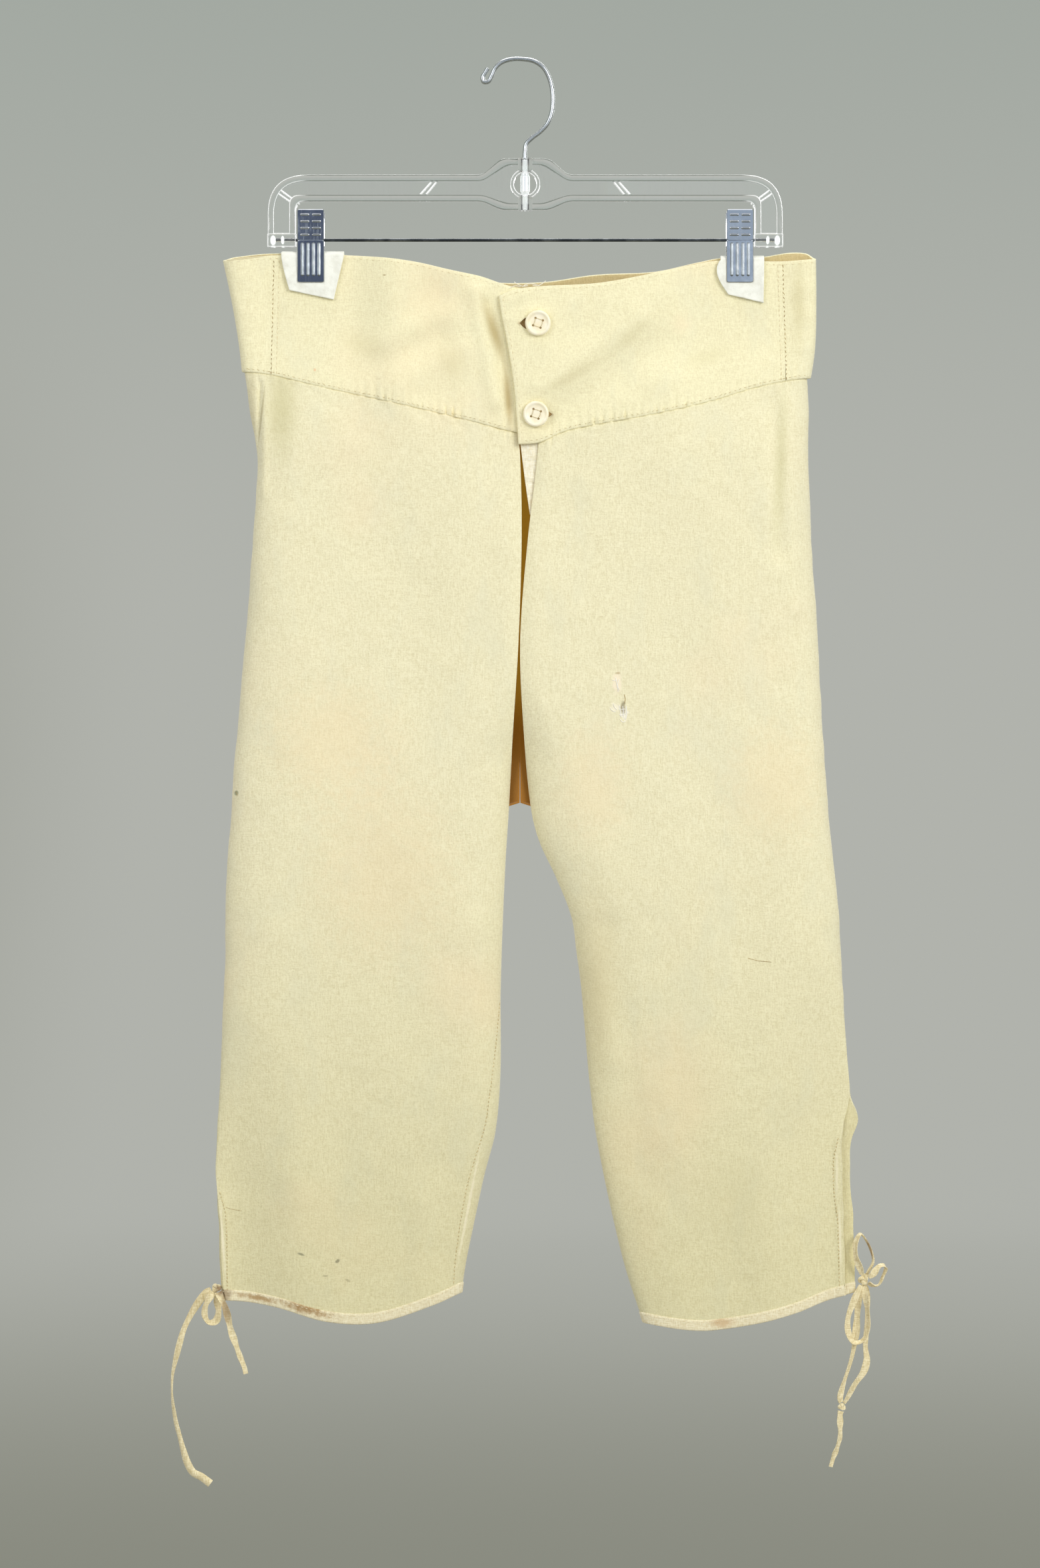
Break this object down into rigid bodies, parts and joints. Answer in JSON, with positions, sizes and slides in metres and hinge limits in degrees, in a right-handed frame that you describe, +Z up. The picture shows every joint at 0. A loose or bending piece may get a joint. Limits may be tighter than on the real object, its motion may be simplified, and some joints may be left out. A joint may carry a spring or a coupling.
{
  "type": "cropped trousers on a clip hanger",
  "caption": "Calf-length flannel drawers with a deep buttoned waistband, open fly, slit hems and tape ties, hung flat from a clear clip hanger.",
  "frame": {"origin": "top of the hook's inside, where the hanger rests on a rail", "axes": "+Z up, the garment's front towards -Y, the wearer's left side towards +X"},
  "size_m": [0.4952, 0.0358, 0.9879],
  "materials": {
    "flannel": "soft napped wool flannel, cream",
    "linen": "plain white linen, creased",
    "tape": "off-white woven cotton tape",
    "button": "cream, polished, like bone or china",
    "padding": "soft white folded cloth",
    "clear_plastic": "clear moulded plastic",
    "chrome": "bright plated steel"
  },
  "bodies": {
    "root": {"leg_front_right": "flannel", "leg_back_right": "flannel", "leg_front_left": "flannel", "leg_back_left": "flannel", "waistband_front_right": "flannel", "waistband_front_left": "flannel", "waistband_back": "flannel", "fly_facing": "linen", "hem_binding_right_front": "tape", "hem_binding_right_back": "tape", "hem_binding_left_front": "tape", "hem_binding_left_back": "tape", "tie_right_knot": "tape", "tie_left_knot": "tape", "tie_left_tail_knot": "tape", "tie_right_long": "tape", "tie_right_short": "tape", "tie_right_loop": "tape", "tie_left_upper_loop": "tape", "tie_left_side_loop": "tape", "tie_left_lower_loop": "tape", "tie_left_tail_inner": "tape", "tie_left_tail_outer": "tape", "tie_left_tail_end": "tape", "button_upper": "button", "button_lower": "button", "pad_right": "padding", "pad_left": "padding", "hanger_body": "clear_plastic", "hanger_rod": "chrome", "hanger_hook": "chrome", "hanger_ferrule": "chrome", "clip_right_front": "chrome", "clip_right_back": "chrome", "clip_left_front": "chrome", "clip_left_back": "chrome"}
  },
  "joints": []
}
